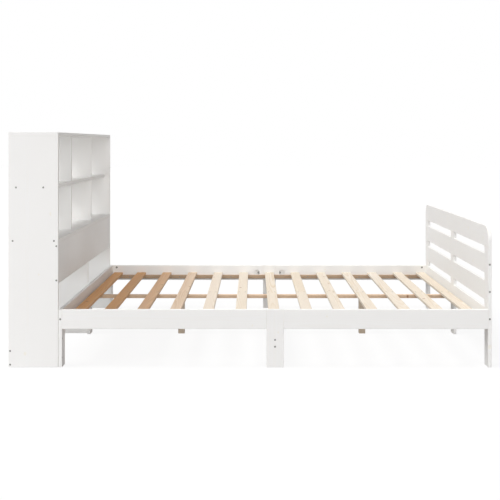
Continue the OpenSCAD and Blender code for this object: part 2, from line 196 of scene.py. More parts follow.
class BedFinishSettings(bpy.types.PropertyGroup):
    """Colours and relief of the painted and bare surfaces."""
    paint: FloatVectorProperty(
        name="Paint", description="Colour of the painted boards", subtype="COLOR", size=3,
        min=0, max=1, default=(0.892, 0.896, 0.890))
    paint_relief: FloatProperty(
        name="Paint relief", description="Height of the grain that shows through the paint",
        default=0.09*MM, min=0, max=1*MM, unit="LENGTH", precision=5)
    early_wood: FloatVectorProperty(
        name="Early wood", description="Pale wood between the growth rings", subtype="COLOR", size=3,
        min=0, max=1, default=(0.785, 0.715, 0.62))
    late_wood: FloatVectorProperty(
        name="Late wood", description="Dark line of a growth ring", subtype="COLOR", size=3,
        min=0, max=1, default=(0.665, 0.55, 0.39))
    knot_wood: FloatVectorProperty(
        name="Knot wood", description="Colour of the knots", subtype="COLOR", size=3,
        min=0, max=1, default=(0.33, 0.16, 0.075))
    beech: FloatVectorProperty(
        name="Beech", description="Colour of the dowels", subtype="COLOR", size=3,
        min=0, max=1, default=(0.70, 0.50, 0.32))
    zinc: FloatVectorProperty(
        name="Zinc", description="Colour of the plated fastenings", subtype="COLOR", size=3,
        min=0, max=1, default=(0.30, 0.30, 0.29))
    ring_gap: FloatProperty(
        name="Ring gap", description="Distance between two growth rings", default=3.2*MM,
        min=1*MM, max=10*MM, unit="LENGTH", precision=4)


class BedSlatSettings(bpy.types.PropertyGroup):
    """Sizes of the slats. Each slat is two halves that meet over the centre batten."""
    count: IntProperty(
        name="Slats", description="How many slats lie on the bed", default=len(SLATS), min=2, max=30)
    width: FloatProperty(
        name="Width", description="Width of a slat", default=HALF_HIGH.x - HALF_LOW.x,
        min=0.04, max=0.1, unit="LENGTH")
    thickness: FloatProperty(
        name="Thickness", description="Thickness of a slat", default=HALF_HIGH.z - HALF_LOW.z,
        min=0.01, max=0.03, unit="LENGTH")
    half_length: FloatProperty(
        name="Half length", description="Length of one half", default=HALF_HIGH.y - HALF_LOW.y,
        min=0.5, max=1.2, unit="LENGTH")
    pitch: FloatProperty(
        name="Pitch", description="Distance from one inner slat to the next",
        default=SLAT_MIDDLES[2] - SLAT_MIDDLES[1], min=0.08, max=0.4, unit="LENGTH")
    end_reach: FloatProperty(
        name="End reach", description="Distance from the middle of the bed to the middle of an end slat",
        default=SLAT_MIDDLES[-1] - BED_MIDDLE_X, min=0.5, max=1.2, unit="LENGTH")
    ease: FloatProperty(
        name="Edge radius", description="Radius of the eased long edges", default=2*MM,
        min=0.5*MM, max=4*MM, unit="LENGTH", precision=4)


class BedFastenerSettings(bpy.types.PropertyGroup):
    """Drives and threads of the fastenings."""
    seed: IntProperty(
        name="Seed", description="Picks the turn at which each drive came to rest", default=7, min=0)
    thread_pitch: FloatProperty(
        name="Thread pitch", description="Distance between two turns of a wood screw's thread",
        default=2.4*MM, min=1*MM, max=4*MM, unit="LENGTH", precision=4)


class BedStageSettings(bpy.types.PropertyGroup):
    """The camera, the lamps and the floor."""
    camera_x: FloatProperty(
        name="Camera X", description="Camera's place along the bed", default=0.0165, unit="LENGTH")
    camera_y: FloatProperty(
        name="Camera Y", description="Camera's place across the bed", default=-5.969, unit="LENGTH")
    camera_z: FloatProperty(
        name="Camera height", description="Camera's height above the floor", default=1.0543, unit="LENGTH")
    lens: FloatProperty(
        name="Focal length", description="Lens of the camera", default=77.49, min=10, unit="CAMERA")
    shift_x: FloatProperty(
        name="Shift X", description="Sideways shift of the lens", default=-0.007)
    shift_y: FloatProperty(
        name="Shift Y", description="Vertical shift that keeps the uprights parallel", default=-0.2144)
    key: FloatProperty(
        name="Key lamp", description="Strength of the lamp beyond the bookcase", default=1.55, min=0)
    side: FloatProperty(
        name="Side lamp", description="Strength of the narrow lamp left of the camera", default=0.65, min=0)
    top: FloatProperty(
        name="Top lamp", description="Strength of the wide lamp overhead", default=0.55, min=0)
    fill: FloatProperty(
        name="Fill lamp", description="Strength of the lamp behind the camera", default=1.65, min=0)
    window: FloatProperty(
        name="Window lamp", description="Power of the lamp behind the bookcase", default=12.0, min=0)
    sky: FloatProperty(
        name="Room light", description="Strength of the even light all round", default=0.2, min=0)
    sky_tint: FloatVectorProperty(
        name="Room tint", description="Colour of the even light all round", subtype="COLOR", size=3,
        min=0, max=1, default=(1.0, 0.90, 0.88))
    floor: FloatVectorProperty(
        name="Floor", description="Colour of the floor", subtype="COLOR", size=3,
        min=0, max=1, default=(0.99, 0.99, 0.99))
    shadow: FloatProperty(
        name="Shadow", description="How dark the bed's shadow shows on the floor", default=0.1, min=0, max=1)
    bounce: FloatProperty(
        name="Floor bounce", description="How much light the floor throws back on the bed",
        default=0.42, min=0, max=1)


# Building node trees

# Sockets of a Mix node that blends colours, and of a Random Value node that gives a float
MIX_FACTOR, MIX_A, MIX_B, MIX_RESULT = 0, 6, 7, 2
RANDOM_MOST, RANDOM_RESULT = 3, 1


class Wires:
    """Adds nodes to a tree. A value given for an input is a socket to join or a plain setting."""

    def __init__(self, tree):
        self.tree = tree

    def put(self, socket, value):
        if isinstance(value, bpy.types.NodeSocket):
            self.tree.links.new(value, socket)
        else:
            socket.default_value = value

    def add(self, kind, inputs=None, **settings):
        node = self.tree.nodes.new(kind)
        for name, value in settings.items():
            setattr(node, name, value)
        for key, value in (inputs or {}).items():
            self.put(node.inputs[key], value)
        return node

    def math(self, operation, *values):
        return self.add("ShaderNodeMath", dict(enumerate(values)), operation=operation).outputs[0]

    def plus(self, a, b):
        return self.math("ADD", a, b)

    def minus(self, a, b):
        return self.math("SUBTRACT", a, b)

    def times(self, a, b):
        return self.math("MULTIPLY", a, b)

    def times_plus(self, a, b, c):
        return self.math("MULTIPLY_ADD", a, b, c)

    def mixed(self, a, b, share):
        """That share of a, and the rest of b."""
        return self.times_plus(a, share, self.times(b, 1 - share))

    def vector(self, operation, *values):
        node = self.add("ShaderNodeVectorMath", dict(enumerate(values)), operation=operation)
        return node.outputs["Value" if operation == "LENGTH" else "Vector"]

    def scaled(self, vector, factor):
        return self.add("ShaderNodeVectorMath", {"Vector": vector, "Scale": factor},
                        operation="SCALE").outputs["Vector"]

    def split(self, vector):
        return list(self.add("ShaderNodeSeparateXYZ", {"Vector": vector}).outputs)

    def join(self, x, y, z):
        return self.add("ShaderNodeCombineXYZ", {"X": x, "Y": y, "Z": z}).outputs["Vector"]

    def surface(self):
        """Where a point of the surface lies on its object, and the way it faces."""
        return self.add("ShaderNodeTexCoord").outputs

    def luck(self, seed):
        """A value and a colour that depend on the seed alone."""
        return self.add("ShaderNodeTexWhiteNoise", {"W": seed}, noise_dimensions="1D").outputs

    def noise(self, vector, scale=1.0, detail=2.0, roughness=0.5):
        return self.add("ShaderNodeTexNoise", {"Vector": vector, "Scale": scale, "Detail": detail,
                                               "Roughness": roughness}).outputs["Fac"]

    def ramp(self, value, start, end, low=0.0, high=1.0):
        """A smooth step from low to high as the value goes from start to end."""
        return self.add("ShaderNodeMapRange", {"Value": value, "From Min": start, "From Max": end,
                                               "To Min": low, "To Max": high},
                        interpolation_type="SMOOTHSTEP").outputs["Result"]

    def blend(self, factor, a, b, way="MIX"):
        return self.add("ShaderNodeMix", {MIX_FACTOR: factor, MIX_A: a, MIX_B: b},
                        data_type="RGBA", blend_type=way).outputs[MIX_RESULT]

    def multiply(self, a, b):
        return self.blend(1.0, a, b, way="MULTIPLY")


def new_group(name, inputs, outputs, kind="ShaderNodeTree"):
    """A node group with named sockets. Returns its wires and its input sockets."""
    tree = bpy.data.node_groups.new(name, kind)
    for label, socket_type, value in inputs:
        socket = tree.interface.new_socket(label, in_out="INPUT", socket_type="NodeSocket" + socket_type)
        if value is not None:
            socket.default_value = value
    for label, socket_type in outputs:
        tree.interface.new_socket(label, in_out="OUTPUT", socket_type="NodeSocket" + socket_type)
    wires = Wires(tree)
    return wires, wires.add("NodeGroupInput").outputs


def finish_group(wires, **results):
    """Joins the results to the group's outputs of the same names. Returns its tree."""
    wires.add("NodeGroupOutput", results)
    return wires.tree


def shared(store, name, build):
    """The node group or material of that name, built the first time it is asked for."""
    return store.get(name) or build(name)


def rgb(colour):
    """A colour that is fully opaque."""
    return (*colour, 1.0)


def tinted(colour, shares):
    """An opaque colour of which each channel keeps its share."""
    return rgb(channel*share for channel, share in zip(colour, shares))


def shaded(colour, share):
    """An opaque colour that keeps that share of its light."""
    return tinted(colour, (share, share, share))


# Shader groups that the finishes share

def timber_group(name):
    """Growth rings, fibre and knots of a pine board.

    The vector is in metres, with the grain along X, the width along Y and the thickness along Z.
    """
    wires, entry = new_group(
        name,
        [("Vector", "Vector", None), ("Seed", "Float", 0.0), ("Ring gap", "Float", 3.2*MM),
         ("Knots", "Float", 0.5)],
        [("Latewood", "Float"), ("Fibre", "Float"), ("Knot", "Float"), ("Tone", "Float")])
    place = entry["Vector"]
    along, across, through = wires.split(place)
    luck = wires.luck(entry["Seed"])["Color"]
    luck_a, luck_b, luck_c = wires.split(luck)
    far_apart = 37.0
    moved = wires.vector("ADD", place, wires.scaled(luck, far_apart))

    # Knots are branches that run through the thickness, so only their place along and across counts.
    # They show a third longer than wide.
    knots_per_metre = (3.0, 9.0, 0.4)
    least_radius, more_radius = 3*MM, 5*MM
    outer_rim, inner_rim = 1.5*MM, -1*MM
    swirl_radii = (3.4, 0.6)
    width_share = 0.75
    counted = wires.vector("MULTIPLY", moved, knots_per_metre)
    cells = wires.add("ShaderNodeTexVoronoi", {"Vector": counted, "Scale": 1.0, "Randomness": 0.8}).outputs
    offset = wires.vector("DIVIDE", wires.vector("SUBTRACT", counted, cells["Position"]), knots_per_metre)
    off_along, off_across, _ = wires.split(offset)
    knot_way = wires.vector("LENGTH", wires.join(wires.times(off_along, width_share), off_across, 0.0))
    chance, knot_size, _ = wires.split(cells["Color"])
    kept = wires.math("LESS_THAN", chance, entry["Knots"])
    radius = wires.times_plus(knot_size, more_radius, least_radius)
    inside = wires.ramp(wires.minus(knot_way, radius), outer_rim, inner_rim)
    knot = wires.times(inside, kept)
    swirl = wires.times(wires.ramp(wires.math("DIVIDE", knot_way, radius), *swirl_radii), kept)

    # Rings round a pith that lies beside the board; they wander along the trunk and part round a knot
    pith_spread, pith_least, pith_more = 110*MM, 20*MM, 70*MM
    wander_scale, wander_reach = (1.3, 6.0, 6.0), 16*MM
    most_taper, parting = 8*MM, 5*MM
    uneven_scale, uneven_rings = 90.0, 1.6
    pith_across = wires.times(wires.minus(luck_a, 0.5), pith_spread)
    pith_through = wires.times_plus(luck_b, -pith_more, -pith_least)
    wander = wires.noise(wires.vector("MULTIPLY", moved, wander_scale))
    reach = wires.vector("LENGTH", wires.join(wires.minus(across, pith_across),
                                              wires.minus(through, pith_through), 0.0))
    reach = wires.plus(reach, wires.times(wander, wander_reach))
    reach = wires.plus(reach, wires.times(along, wires.times_plus(luck_c, 2*most_taper, -most_taper)))
    reach = wires.plus(reach, wires.times(swirl, parting))
    uneven = wires.noise(wires.join(wires.times(reach, uneven_scale), luck_a, luck_b), detail=1.0)
    rings = wires.plus(wires.math("DIVIDE", reach, entry["Ring gap"]), wires.times(uneven, uneven_rings))

    # The wood darkens over a year, and the dark line ends at once
    darkening, line_end = (0.25, 0.93), (1.0, 0.94)
    year = wires.math("FRACT", rings)
    late = wires.times(wires.ramp(year, *darkening), wires.ramp(year, *line_end))

    fibre_scale, tone_scale = (7.0, 900.0, 900.0), (0.9, 7.0, 7.0)
    fibre = wires.noise(wires.vector("MULTIPLY", moved, fibre_scale), detail=3.0, roughness=0.6)
    tone = wires.noise(wires.vector("MULTIPLY", moved, tone_scale))
    return finish_group(wires, Latewood=late, Fibre=fibre, Knot=knot, Tone=tone)


def edge_group(name):
    """Masks the eased edges of a square-cut board, where worn, from the way its surface faces."""
    wires, entry = new_group(
        name, [("Patch scale", "Float", 28.0), ("Wear", "Float", 0.5)], [("Mask", "Float")])
    surface = wires.surface()
    facing = wires.split(wires.vector("ABSOLUTE", surface["Normal"]))
    squareness = wires.math("MAXIMUM", wires.math("MAXIMUM", facing[0], facing[1]), facing[2])
    on_face, on_edge = 0.97, 0.80
    edge = wires.ramp(squareness, on_face, on_edge)
    patch = wires.noise(surface["Object"], entry["Patch scale"], detail=4.0, roughness=0.65)
    unworn_start, fade = 0.6, 0.25
    start = wires.times(wires.minus(1.0, entry["Wear"]), unworn_start)
    worn = wires.ramp(patch, start, wires.plus(start, fade))
    return finish_group(wires, Mask=wires.times(edge, worn))


def brush_group(name):
    """Relief and sheen of paint laid on with a roller and brushed out along the board."""
    wires, entry = new_group(
        name, [("Vector", "Vector", None), ("Seed", "Float", 0.0)],
        [("Height", "Float"), ("Sheen", "Float")])
    moved = wires.vector("ADD", entry["Vector"], wires.join(entry["Seed"], entry["Seed"], entry["Seed"]))
    stroke_scale = (5.0, 260.0, 260.0)
    strokes = wires.noise(wires.vector("MULTIPLY", moved, stroke_scale), detail=3.0)
    stipple = wires.noise(moved, scale=620.0)
    cloud = wires.noise(moved, scale=6.0, detail=3.0)
    return finish_group(wires, Height=wires.mixed(stipple, strokes, 0.35),
                        Sheen=wires.mixed(cloud, strokes, 0.6))


def zinc_group(name):
    """Cloudy crystals of zinc plating with fine turning marks."""
    wires, entry = new_group(
        name, [("Vector", "Vector", None)],
        [("Tone", "Float"), ("Roughness", "Float"), ("Height", "Float")])
    place = entry["Vector"]
    crystals = wires.add("ShaderNodeTexVoronoi", {"Vector": place, "Scale": 1400.0}).outputs["Color"]
    cloud = wires.noise(place, scale=240.0, detail=3.0)
    tone = wires.mixed(wires.split(crystals)[0], cloud, 0.35)
    return finish_group(wires, Tone=tone, Roughness=wires.ramp(tone, 0.2, 0.8, low=0.28, high=0.5),
                        Height=wires.noise(place, scale=3200.0))


def use_group(wires, name, build, inputs):
    """Places a shared group with its own values. Returns its outputs."""
    tree = shared(bpy.data.node_groups, name, build)
    return wires.add("ShaderNodeGroup", inputs, node_tree=tree).outputs


# Materials

def empty_tree(owner):
    """Wires for the node tree of a material or a world, cleared first."""
    owner.use_nodes = True
    owner.node_tree.nodes.clear()
    return Wires(owner.node_tree)


def new_material(name):
    """A material with a bare Principled shader. Returns it, its wires and the shader."""
    material = bpy.data.materials.new(name)
    wires = empty_tree(material)
    shader = wires.add("ShaderNodeBsdfPrincipled")
    wires.add("ShaderNodeOutputMaterial", {"Surface": shader.outputs["BSDF"]})
    return material, wires, shader


def dress(wires, shader, colour, roughness, height, relief, strength):
    """Joins a surface's colour, roughness and relief to its shader."""
    bump = wires.add("ShaderNodeBump", {"Height": height, "Strength": strength, "Distance": relief})
    wires.put(shader.inputs["Base Color"], colour)
    wires.put(shader.inputs["Roughness"], roughness)
    wires.put(shader.inputs["Normal"], bump.outputs["Normal"])


def board_place(wires, node):
    """Object coordinates from the middle of a board, turned so that its grain runs along X."""
    low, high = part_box(node)
    middle = wires.add("ShaderNodeMapping", {"Vector": wires.surface()["Object"],
                                             "Location": -(low + high)/2})
    parts = wires.split(middle.outputs["Vector"])
    return wires.join(*[parts[k] for k in sides_by_length(low, high)])


def painted(name, node, seed):
    """White paint on pine: the grain telegraphs through, and the paint is thin on the edges."""
    look = bpy.context.scene.bed_finish
    material, wires, shader = new_material(name)
    place = board_place(wires, node)
    timber = use_group(wires, "Timber grain", timber_group,
                       {"Vector": place, "Seed": seed, "Ring gap": look.ring_gap, "Knots": 0.22})
    brush = use_group(wires, "Brushed paint", brush_group, {"Vector": place, "Seed": seed})
    worn = use_group(wires, "Worn edges", edge_group, {"Wear": 0.5})["Mask"]
    colour = rgb(look.paint)
    for mask, weight, shares in ((timber["Latewood"], 0.45, WARM_WHITE), (timber["Tone"], 0.35, WARM_WHITE),
                                 (timber["Knot"], 0.7, BLED_WHITE), (worn, 0.7, THIN_WHITE)):
        colour = wires.blend(wires.times(mask, weight), colour, tinted(look.paint, shares))
    roughness = wires.ramp(brush["Sheen"], 0.3, 0.7, low=0.40, high=0.55)
    height = wires.times_plus(timber["Latewood"], 0.45, wires.times(brush["Height"], 0.6))
    height = wires.minus(height, wires.times(timber["Fibre"], 0.25))
    dress(wires, shader, colour, roughness, height, look.paint_relief, strength=0.6)
    return material


def pine_surface(wires, shader, place, seed, knots, red, shade=1.0):
    """Bare planed pine on a Principled shader, for coordinates with the grain along X.

    Knots is the chance of one in each cell of wood. Shade redness, from 0 to 1, is painted shade that leans
    the wood from pale to reddish and darker, and painted shade below 1 darkens all of the wood's colours.
    """
    look = bpy.context.scene.bed_finish
    woods = (look.early_wood, look.late_wood, look.knot_wood)
    # Painted shade below 1 darkens all the wood's colours
    early, late_ring, knot = [Vector(wood)*shade for wood in woods]
    pale_edge = early*1.08
    timber = use_group(wires, "Timber grain", timber_group,
                       {"Vector": place, "Seed": seed, "Ring gap": look.ring_gap, "Knots": knots})
    worn = use_group(wires, "Worn edges", edge_group, {"Wear": 0.65})["Mask"]
    warmth = wires.luck(wires.plus(seed, 0.5))["Value"]
    strength = wires.ramp(timber["Tone"], 0.25, 0.75, low=0.25, high=0.8)
    late = wires.times(timber["Latewood"], strength)
    colour = wires.blend(late, rgb(early), rgb(late_ring))
    tint = wires.blend(warmth, WHITE, rgb(WARM_PINE))
    # Painted shade: the shade redness tints the wood redder and darker
    colour = wires.multiply(colour, wires.blend(red, tint, rgb(SHADOW_RED_PINE)))
    fibre = wires.ramp(timber["Fibre"], 0.3, 0.7, low=0.88, high=1.03)
    colour = wires.multiply(colour, wires.join(fibre, fibre, fibre))
    colour = wires.blend(wires.times(timber["Knot"], 0.85), colour, rgb(knot))
    colour = wires.blend(wires.times(worn, 0.4), colour, rgb(pale_edge))
    roughness = wires.ramp(timber["Fibre"], 0.3, 0.7, low=0.55, high=0.72)
    height = wires.mixed(timber["Latewood"], timber["Fibre"], 0.5)
    dress(wires, shader, colour, roughness, height, relief=0.15*MM, strength=0.7)


def bare_pine(name, node, seed):
    """Bare pine for one board under the slats, painted redder and darker as painted shade."""
    material, wires, shader = new_material(name)
    red, shade = next(tone for start, tone in SUPPORT_PAINTED_SHADE.items() if node.startswith(start))
    pine_surface(wires, shader, board_place(wires, node), seed, knots=0.35, red=red, shade=shade)
    return material


def slat_pine(name):
    """Bare pine for all slats: number and half pick the wood; those nearest the bookcase get painted shade.
    """
    slats = bpy.context.scene.bed_slats
    material, wires, shader = new_material(name)
    x, y, z = wires.split(wires.surface()["Object"])
    steps = wires.math("DIVIDE", wires.minus(x, BED_MIDDLE_X), slats.pitch)
    step = wires.math("ROUND", steps)
    across = wires.times(wires.minus(steps, step), slats.pitch)
    number = wires.plus(step, (slats.count - 1)/2)
    far_half = wires.math("GREATER_THAN", y, 0.0)
    seed = wires.plus(wires.times_plus(number, 2.0, far_half), SLAT_SEEDS)
    place = wires.join(y, across, wires.minus(z, SLAT_MIDDLE_Z))
    # Painted shade: the slats nearest the bookcase are painted redder and darker, as the bookcase's shade
    shade_fades_at, full_shade_at = 4.6, 0.6
    pine_surface(wires, shader, place, seed, knots=0.4, red=wires.ramp(number, shade_fades_at, full_shade_at))
    return material


def turned_beech(name):
    """Plain beech with its short dark flecks, for dowels."""
    beech = bpy.context.scene.bed_finish.beech
    material, wires, shader = new_material(name)
    place = wires.surface()["Object"]
    fleck_scale = (900.0, 160.0, 900.0)
    fleck = wires.ramp(wires.noise(wires.vector("MULTIPLY", place, fleck_scale)), 0.55, 0.7)
    cloud = wires.noise(place, scale=60.0)
    colour = wires.blend(cloud, rgb(beech), shaded(beech, 0.86))
    colour = wires.blend(wires.times(fleck, 0.6), colour, shaded(beech, 0.6))
    roughness = wires.ramp(cloud, 0.3, 0.7, low=0.5, high=0.65)
    dress(wires, shader, colour, roughness, fleck, relief=0.05*MM, strength=0.4)
    return material


def zinc_plated(name):
    """Zinc plated steel of every screw, bolt and nut."""
    plating = bpy.context.scene.bed_finish.zinc
    material, wires, shader = new_material(name)
    zinc = use_group(wires, "Zinc plating", zinc_group, {"Vector": wires.surface()["Object"]})
    colour = wires.blend(zinc["Tone"], shaded(plating, 0.72), rgb(plating))
    wires.put(shader.inputs["Metallic"], 1.0)
    dress(wires, shader, colour, zinc["Roughness"], zinc["Height"], relief=0.03*MM, strength=0.3)
    return material


def zinc_for_all():
    """The one zinc plated steel that all fastenings share."""
    return shared(bpy.data.materials, "Zinc plated steel", zinc_plated)


def cover(node, material):
    """Gives a CAD node that material and no other."""
    slots = NODES[node].data.materials
    slots.clear()
    slots.append(material)


def finish_boards(names, finish, label):
    """Gives each board a material of its own, so that no two show the same piece of wood."""
    order = sorted(NODES)
    for name in names:
        cover(name, finish(f"{label} {name}", name, order.index(name) + BOARD_SEEDS))


# Meshes and modifiers

def new_object(name, data):
    """An object of that mesh, lamp or camera, in the scene."""
    thing = bpy.data.objects.new(name, data)
    bpy.context.scene.collection.objects.link(thing)
    return thing


def plain_mesh(name, model):
    """Turns a finished bmesh into a mesh with its faces outwards."""
    bmesh.ops.recalc_face_normals(model, faces=model.faces)
    mesh = bpy.data.meshes.new(name)
    model.to_mesh(mesh)
    model.free()
    return mesh


def evaluated_mesh(piece):
    """A plain mesh of a piece as its modifiers leave it."""
    bpy.context.view_layer.update()
    graph = bpy.context.evaluated_depsgraph_get()
    return bpy.data.meshes.new_from_object(piece.evaluated_get(graph), depsgraph=graph)


def set_input(modifier, name, value):
    """Sets a tree's input by its socket's identifier."""
    for item in modifier.node_group.interface.items_tree:
        if item.item_type == "SOCKET" and item.in_out == "INPUT" and item.name == name:
            modifier[item.identifier] = value
            return
    raise KeyError(name)


def run_tree(name, start, tree, values):
    """Runs a geometry tree on a start mesh and keeps the result as a plain mesh object."""
    piece = new_object(name, start)
    modifier = piece.modifiers.new(tree.name, "NODES")
    modifier.node_group = tree
    for key, value in values.items():
        set_input(modifier, key, value)
    result = evaluated_mesh(piece)
    piece.modifiers.clear()
    piece.data = result
    result.name = name
    return piece


def sharpen(mesh):
    """Smooth shading that leaves the sharper edges crisp."""
    mesh.shade_smooth()
    mesh.set_sharp_from_angle(angle=math.radians(CRISP_ANGLE))


def places_mesh(name, fasteners):
    """One point for each fastener's head, with the way it points as an attribute."""
    mesh = bpy.data.meshes.new(name)
    mesh.from_pydata([f.head for f in fasteners], [], [])
    aims = mesh.attributes.new("aim", "FLOAT_VECTOR", "POINT")
    for value, fastener in zip(aims.data, fasteners):
        value.vector = fastener.aim
    return mesh


# Geometry trees

def slat_tree():
    """Rows of eased slat halves on both sides of the centre line, cut away where the screws sit.

    The inner slats lie even about the middle of the bed, and the two end slats lie at the end reach.
    """
    wires, entry = new_group(
        "Slat rows",
        [("Geometry", "Geometry", None), ("Count", "Int", 13), ("Pitch", "Float", 0.16),
         ("End reach", "Float", 0.96), ("Width", "Float", 0.058), ("Thickness", "Float", 0.015),
         ("Half length", "Float", 0.9), ("Edge radius", "Float", 0.002), ("Middle", "Vector", None),
         ("Half spread", "Float", 0.45), ("Countersinks", "Object", None), ("Material", "Material", None)],
        [("Geometry", "Geometry")], kind="GeometryNodeTree")
    outline = wires.add("GeometryNodeCurvePrimitiveQuadrilateral",
                        {"Width": entry["Width"], "Height": entry["Thickness"]}).outputs["Curve"]
    eased = wires.add("GeometryNodeFilletCurve", {"Curve": outline, "Radius": entry["Edge radius"],
                                                  "Count": 3, "Limit Radius": True}, mode="POLY")
    end = wires.add("ShaderNodeCombineXYZ", {"Y": entry["Half length"]}).outputs["Vector"]
    back = wires.scaled(end, -0.5)
    forth = wires.scaled(end, 0.5)
    line = wires.add("GeometryNodeCurvePrimitiveLine", {"Start": back, "End": forth}).outputs["Curve"]
    upright = wires.add("GeometryNodeSetCurveNormal", {"Curve": line}, mode="Z_UP")
    half = wires.add("GeometryNodeCurveToMesh", {"Curve": upright.outputs["Curve"],
                                                 "Profile Curve": eased.outputs["Curve"],
                                                 "Fill Caps": True}).outputs["Mesh"]
    inner = wires.minus(entry["Count"], 2.0)
    inner_reach = wires.times(wires.times(wires.minus(inner, 1.0), 0.5), entry["Pitch"])
    end_step = wires.times(entry["End reach"], 2.0)
    places = wires.add("GeometryNodeJoinGeometry")
    for side in (-1.0, 1.0):
        spread = wires.times(entry["Half spread"], side)
        for count, reach, step in ((inner, inner_reach, entry["Pitch"]), (2, entry["End reach"], end_step)):
            start = wires.vector("ADD", entry["Middle"], wires.join(wires.times(reach, -1.0), spread, 0.0))
            row = wires.add("GeometryNodeMeshLine", {"Count": count, "Start Location": start,
                                                     "Offset": wires.join(step, 0.0, 0.0)})
            wires.put(places.inputs["Geometry"], row.outputs["Mesh"])
    halves = wires.add("GeometryNodeInstanceOnPoints", {"Points": places.outputs["Geometry"],
                                                        "Instance": half})
    solid = wires.add("GeometryNodeRealizeInstances", {"Geometry": halves.outputs["Instances"]})
    sinks = wires.add("GeometryNodeObjectInfo", {"Object": entry["Countersinks"]})
    bored = wires.add("GeometryNodeMeshBoolean", {"Mesh 1": solid.outputs["Geometry"],
                                                  "Mesh 2": sinks.outputs["Geometry"]},
                      operation="DIFFERENCE", solver="EXACT")
    dressed = wires.add("GeometryNodeSetMaterial", {"Geometry": bored.outputs["Mesh"],
                                                    "Material": entry["Material"]})
    return finish_group(wires, Geometry=dressed.outputs["Geometry"])


def fastener_tree(name):
    """Sets one fastening on each point, turned to its aim and spun by chance about its own axis."""
    wires, entry = new_group(
        name,
        [("Geometry", "Geometry", None), ("Fastening", "Object", None), ("Spin", "Float", math.tau),
         ("Seed", "Int", 0), ("Material", "Material", None)],
        [("Geometry", "Geometry")], kind="GeometryNodeTree")
    aim = wires.add("GeometryNodeInputNamedAttribute", {"Name": "aim"}, data_type="FLOAT_VECTOR")
    aimed = wires.add("FunctionNodeAlignRotationToVector", {"Vector": aim.outputs["Attribute"]}, axis="Z")
    chance = wires.add("FunctionNodeRandomValue", {RANDOM_MOST: entry["Spin"], "Seed": entry["Seed"]},
                       data_type="FLOAT")
    spin = wires.add("FunctionNodeAxisAngleToRotation", {"Axis": (0.0, 0.0, 1.0),
                                                         "Angle": chance.outputs[RANDOM_RESULT]})
    both = wires.add("FunctionNodeRotateRotation", {"Rotation": aimed.outputs["Rotation"],
                                                    "Rotate By": spin.outputs["Rotation"]},
                     rotation_space="LOCAL")
    model = wires.add("GeometryNodeObjectInfo", {"Object": entry["Fastening"]})
    copies = wires.add("GeometryNodeInstanceOnPoints", {"Points": entry["Geometry"],
                                                        "Instance": model.outputs["Geometry"],
                                                        "Rotation": both.outputs["Rotation"]})
    solid = wires.add("GeometryNodeRealizeInstances", {"Geometry": copies.outputs["Instances"]})
    dressed = wires.add("GeometryNodeSetMaterial", {"Geometry": solid.outputs["Geometry"],
                                                    "Material": entry["Material"]})
    return finish_group(wires, Geometry=dressed.outputs["Geometry"])


# Turned fastenings, with the head's face at the origin and the shank along +Z

# Points of every drive's outline, and sides of a bored or countersunk hole
DRIVE_POINTS = 12
HOLE_SIDES = 16

# Recess of a cross-head screw: how far its arms reach and how deep it goes, as shares of the head's radius
CROSS_REACH = 0.56
CROSS_DEPTH = 0.5


def cross_drive(reach):
    """Outline of a cross recess. Each of its four arms is 0.44 of its reach wide."""
    half = reach*0.22
    outline = []
    for c, s in ((1, 0), (0, 1), (-1, 0), (0, -1)):
        for along, aside in ((reach, -half), (reach, half), (half, half)):
            outline.append((along*c - aside*s, along*s + aside*c))
    return outline


def hex_drive(reach):
    """Outline of a hexagon socket, with a point in the middle of each side."""
    step = math.tau/DRIVE_POINTS
    outline = []
    for k in range(DRIVE_POINTS):
        radius = reach if k % 2 == 0 else reach*math.cos(step)
        angle = step*(k - 0.5)
        outline.append((radius*math.cos(angle), radius*math.sin(angle)))
    return outline


def slot_drive(reach):
    """Outline of a straight slot that reaches as far to both sides."""
    half = reach*0.16
    xs = [reach, reach, reach/2, 0, -reach/2, -reach, -reach, -reach, -reach/2, 0, reach/2, reach]
    ys = [0, half, half, half, half, half, 0, -half, -half, -half, -half, -half]
    return list(zip(xs, ys))


def turned(name, profile, drive, drive_depth, facets=1, taper=0.55, thread=None):
    """A turned fastening: a recess in its face, then rings along a profile of radius and depth.

    The rings have that many facets for each point of the drive, and the recess's floor is the drive's outline
    times the taper. A thread, given as (start, end, pitch, height), is a ridge that winds round the shank.
    """
    count = DRIVE_POINTS*facets
    half_a_point = 0.5/DRIVE_POINTS
    angles = [math.tau*(k/count - half_a_point) for k in range(count)]
    ridge_slope = 3
    model = bmesh.new()

    def ring(radius, depth):
        if radius == 0:
            return [model.verts.new((0, 0, depth))]
        radii = [radius for _ in angles]
        if thread and thread[0] <= depth <= thread[1]:
            start, _, pitch, height = thread
            turns = [(depth - start)/pitch - angle/math.tau for angle in angles]
            radii = [radius + height*max(0.0, 1 - ridge_slope*abs(turn - round(turn))) for turn in turns]
        return [model.verts.new((r*math.cos(a), r*math.sin(a), depth)) for r, a in zip(radii, angles)]

    lip = [model.verts.new((x, y, 0)) for x, y in drive]
    floor = [model.verts.new((x*taper, y*taper, drive_depth)) for x, y in drive]
    rings = [ring(radius, depth) for radius, depth in profile]
    for k in range(DRIVE_POINTS):
        after = (k + 1) % DRIVE_POINTS
        rim = [rings[0][(k*facets + j) % count] for j in range(facets + 1)]
        model.faces.new([lip[k], lip[after], *reversed(rim)])
        model.faces.new([lip[after], lip[k], floor[k], floor[after]])
    model.faces.new(list(reversed(floor)))
    for upper, lower in zip(rings, rings[1:]):
        for k in range(count):
            after = (k + 1) % count
            low_side = [lower[0]] if len(lower) == 1 else [lower[after], lower[k]]
            model.faces.new([upper[k], upper[after], *low_side])
    if len(rings[-1]) > 1:
        model.faces.new(list(reversed(rings[-1])))
    mesh = plain_mesh(name, model)
    sharpen(mesh)
    return mesh


def thread_rings(radius, start, end, pitch):
    """Profile rings close enough to carry a thread."""
    rings_per_turn = 4
    count = max(1, round((end - start)/pitch*rings_per_turn))
    return [(radius, start + (end - start)*k/count) for k in range(1, count + 1)]


